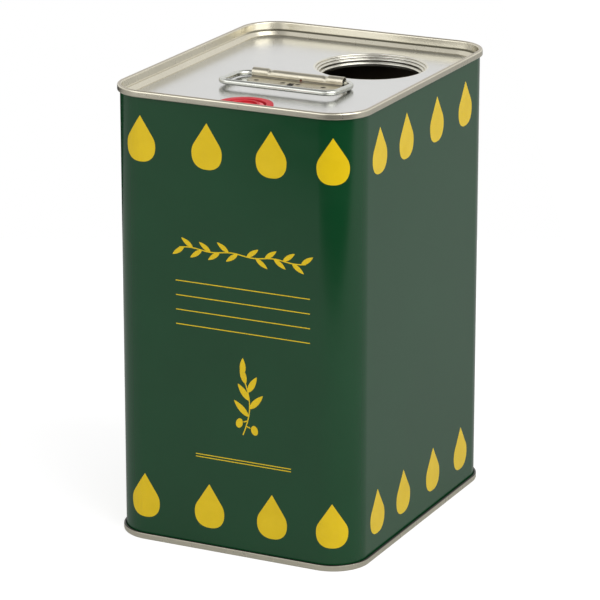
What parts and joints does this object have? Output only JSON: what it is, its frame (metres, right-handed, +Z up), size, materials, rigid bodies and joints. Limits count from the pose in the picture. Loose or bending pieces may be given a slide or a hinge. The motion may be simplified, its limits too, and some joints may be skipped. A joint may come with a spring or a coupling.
{
  "type": "oil tin",
  "caption": "Rectangular seamed oil tin with rounded corners, an open drawn mouth, a folding wire bail in a welded clip, and a small round pull-up pouring spout in its top.",
  "frame": {"origin": "on the floor under the middle of the tin, in the plane of the bottom seam's crown", "axes": "+Z up along the tin's height, +X to the right along the wide printed front face, -Y out of that front face"},
  "size_m": [0.1184, 0.1474, 0.2032],
  "materials": {
    "printed_plate": "gloss lithographed dark green with yellow drops",
    "tinplate": "satin tinplate",
    "clip_plate": "satin tinplate, slightly yellowed",
    "zinc_wire": "bright zinc-plated drawn wire",
    "red_plastic": "moulded gloss polyethylene",
    "sealing_compound": "matt rubbery film",
    "liner_foam": "matt closed-cell disc"
  },
  "bodies": {
    "tin": {"body_shell": "printed_plate", "top_end": "tinplate", "bottom_end": "tinplate", "top_seam_compound": "sealing_compound", "bottom_seam_compound": "sealing_compound", "handle_clip": "clip_plate", "spout_base": "red_plastic"},
    "bail": {"handle_bail": "zinc_wire"},
    "spout": {"spout_tube": "red_plastic"},
    "cap": {"spout_cap": "red_plastic", "cap_liner": "liner_foam"},
    "pull": {"cap_pull": "red_plastic"}
  },
  "joints": [
    {"name": "bail_swing", "type": "hinge", "parent": "tin", "child": "bail", "pos_m": [0.0011, -0.007, 0.19885], "axis": [-1, 0, 0], "range_deg": [0, 175]},
    {"name": "spout_rise", "type": "slide", "parent": "tin", "child": "spout", "axis": [0, 0, 1], "range_m": [0, 0.0142]},
    {"name": "cap_lift", "type": "slide", "parent": "spout", "child": "cap", "axis": [0, 0, 1], "range_m": [0, 0.012]},
    {"name": "pull_swing", "type": "hinge", "parent": "cap", "child": "pull", "pos_m": [-0.0006, -0.0561, 0.19805], "axis": [1, 0, 0], "range_deg": [0, 100]}
  ]
}
